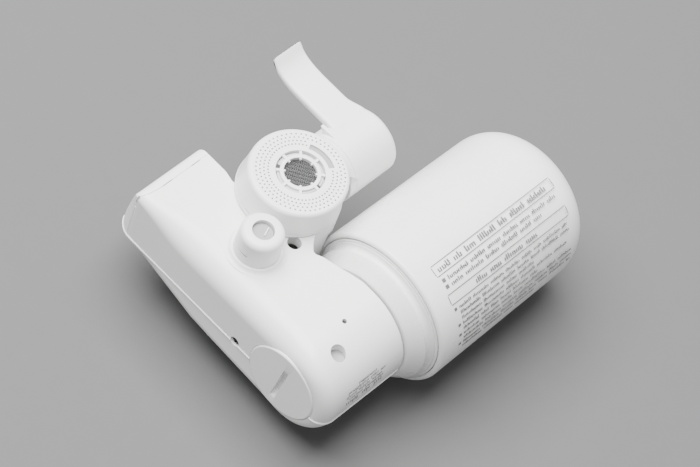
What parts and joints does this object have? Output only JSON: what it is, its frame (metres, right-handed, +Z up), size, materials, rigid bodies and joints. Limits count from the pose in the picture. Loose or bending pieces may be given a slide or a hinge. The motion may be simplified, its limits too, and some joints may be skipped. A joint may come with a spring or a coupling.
{
  "type": "tap-mounted water filter",
  "caption": "Compact tap-mounted water filter: rounded body with battery cover, domed cartridge, shower head, small purified-water outlet, selector lever and round tap nut.",
  "frame": {"origin": "centre of the bounding box in plan, on the surface it rests on", "axes": "+X along the cartridge to its domed end, +Y along the body to the display end, +Z up with the water outlets facing up, as it lies on a table; in use it hangs from the tap the other way up"},
  "size_m": [0.1378, 0.1204, 0.068],
  "materials": {
    "white_plastic": "satin moulded",
    "natural_plastic": "moulded",
    "grey_plastic": "moulded",
    "display_glass": "clear, polished",
    "rubber": "matte",
    "steel": "plain",
    "activated_carbon": "porous",
    "fibre": "soft",
    "circuit_board": "lacquered"
  },
  "bodies": {
    "housing": {"upper_shell": "white_plastic", "lower_shell": "white_plastic", "front_cap": "white_plastic", "outlet_cap": "white_plastic", "selector_collar": "white_plastic", "shower_cover": "white_plastic", "shower_lip": "white_plastic", "aerator_ring": "white_plastic", "cartridge_socket": "natural_plastic", "purified_duct": "natural_plastic", "raw_water_duct": "natural_plastic", "outlet_tube": "natural_plastic", "flow_meter_case": "natural_plastic", "valve_body": "natural_plastic", "aerator_body": "natural_plastic", "lcd_panel": "grey_plastic", "button_switch": "grey_plastic", "battery_holder": "grey_plastic", "screw_plug": "grey_plastic", "display_window": "display_glass", "inlet_gasket": "rubber", "case_screw_1": "steel", "case_screw_2": "steel", "case_screw_3": "steel", "side_screw": "steel", "coin_cell": "steel", "battery_contact": "steel", "impeller_axle": "steel", "inlet_strainer": "steel", "aerator_screen": "steel", "circuit_board": "circuit_board"},
    "lever_group": {"lever": "white_plastic", "selector_shaft": "grey_plastic", "spool_o_ring_1": "rubber", "spool_o_ring_2": "rubber", "spool_o_ring_3": "rubber", "lever_screw": "steel"},
    "cartridge_seal_ring": {"cartridge_seal": "rubber"},
    "cartridge": {"cartridge_shell": "white_plastic", "cartridge_base": "natural_plastic", "fibre_case": "grey_plastic", "hollow_fibre_bundle": "fibre", "carbon_block": "activated_carbon", "prefilter_sleeve": "fibre", "media_end_disc": "natural_plastic"},
    "battery_cover_ring": {"battery_cover_seal": "rubber"},
    "battery_cover_group": {"battery_cover": "white_plastic"},
    "tap_nut": {"inlet_nut": "grey_plastic"},
    "button": {"reset_button": "grey_plastic"},
    "impeller": {"flow_impeller": "grey_plastic"}
  },
  "joints": [
    {"name": "lever_turn", "type": "hinge", "parent": "housing", "child": "lever_group", "pos_m": [0.00901, 0.0188, 0.0515], "axis": [1, 0, 0], "range_deg": [-45, 45]},
    {"name": "cartridge_pull", "type": "slide", "parent": "housing", "child": "cartridge_seal_ring", "axis": [1, 0, 0], "range_m": [0, 0.03]},
    {"name": "cartridge_turn", "type": "hinge", "parent": "cartridge_seal_ring", "child": "cartridge", "pos_m": [0.02201, -0.0288, 0.0314], "axis": [1, 0, 0], "range_deg": [0, 60]},
    {"name": "battery_cover_pull", "type": "slide", "parent": "housing", "child": "battery_cover_ring", "axis": [-1, 0, 0], "range_m": [0, 0.015]},
    {"name": "battery_cover_turn", "type": "hinge", "parent": "battery_cover_ring", "child": "battery_cover_group", "pos_m": [-0.06699, -0.0288, 0.0314], "axis": [-1, 0, 0], "range_deg": [0, 45]},
    {"name": "tap_nut_turn", "type": "hinge", "parent": "housing", "child": "tap_nut", "pos_m": [-0.0221, 0.0188, 0.005], "axis": [0, 0, 1], "continuous": true},
    {"name": "reset_button_press", "type": "slide", "parent": "housing", "child": "button", "axis": [0, -0.2565, 0.9665], "range_m": [0, 0.0006], "stiffness_N_per_m": 400},
    {"name": "impeller_spin", "type": "hinge", "parent": "housing", "child": "impeller", "pos_m": [-0.0497, 0.0097, 0.031], "axis": [0, 0, 1], "continuous": true}
  ]
}
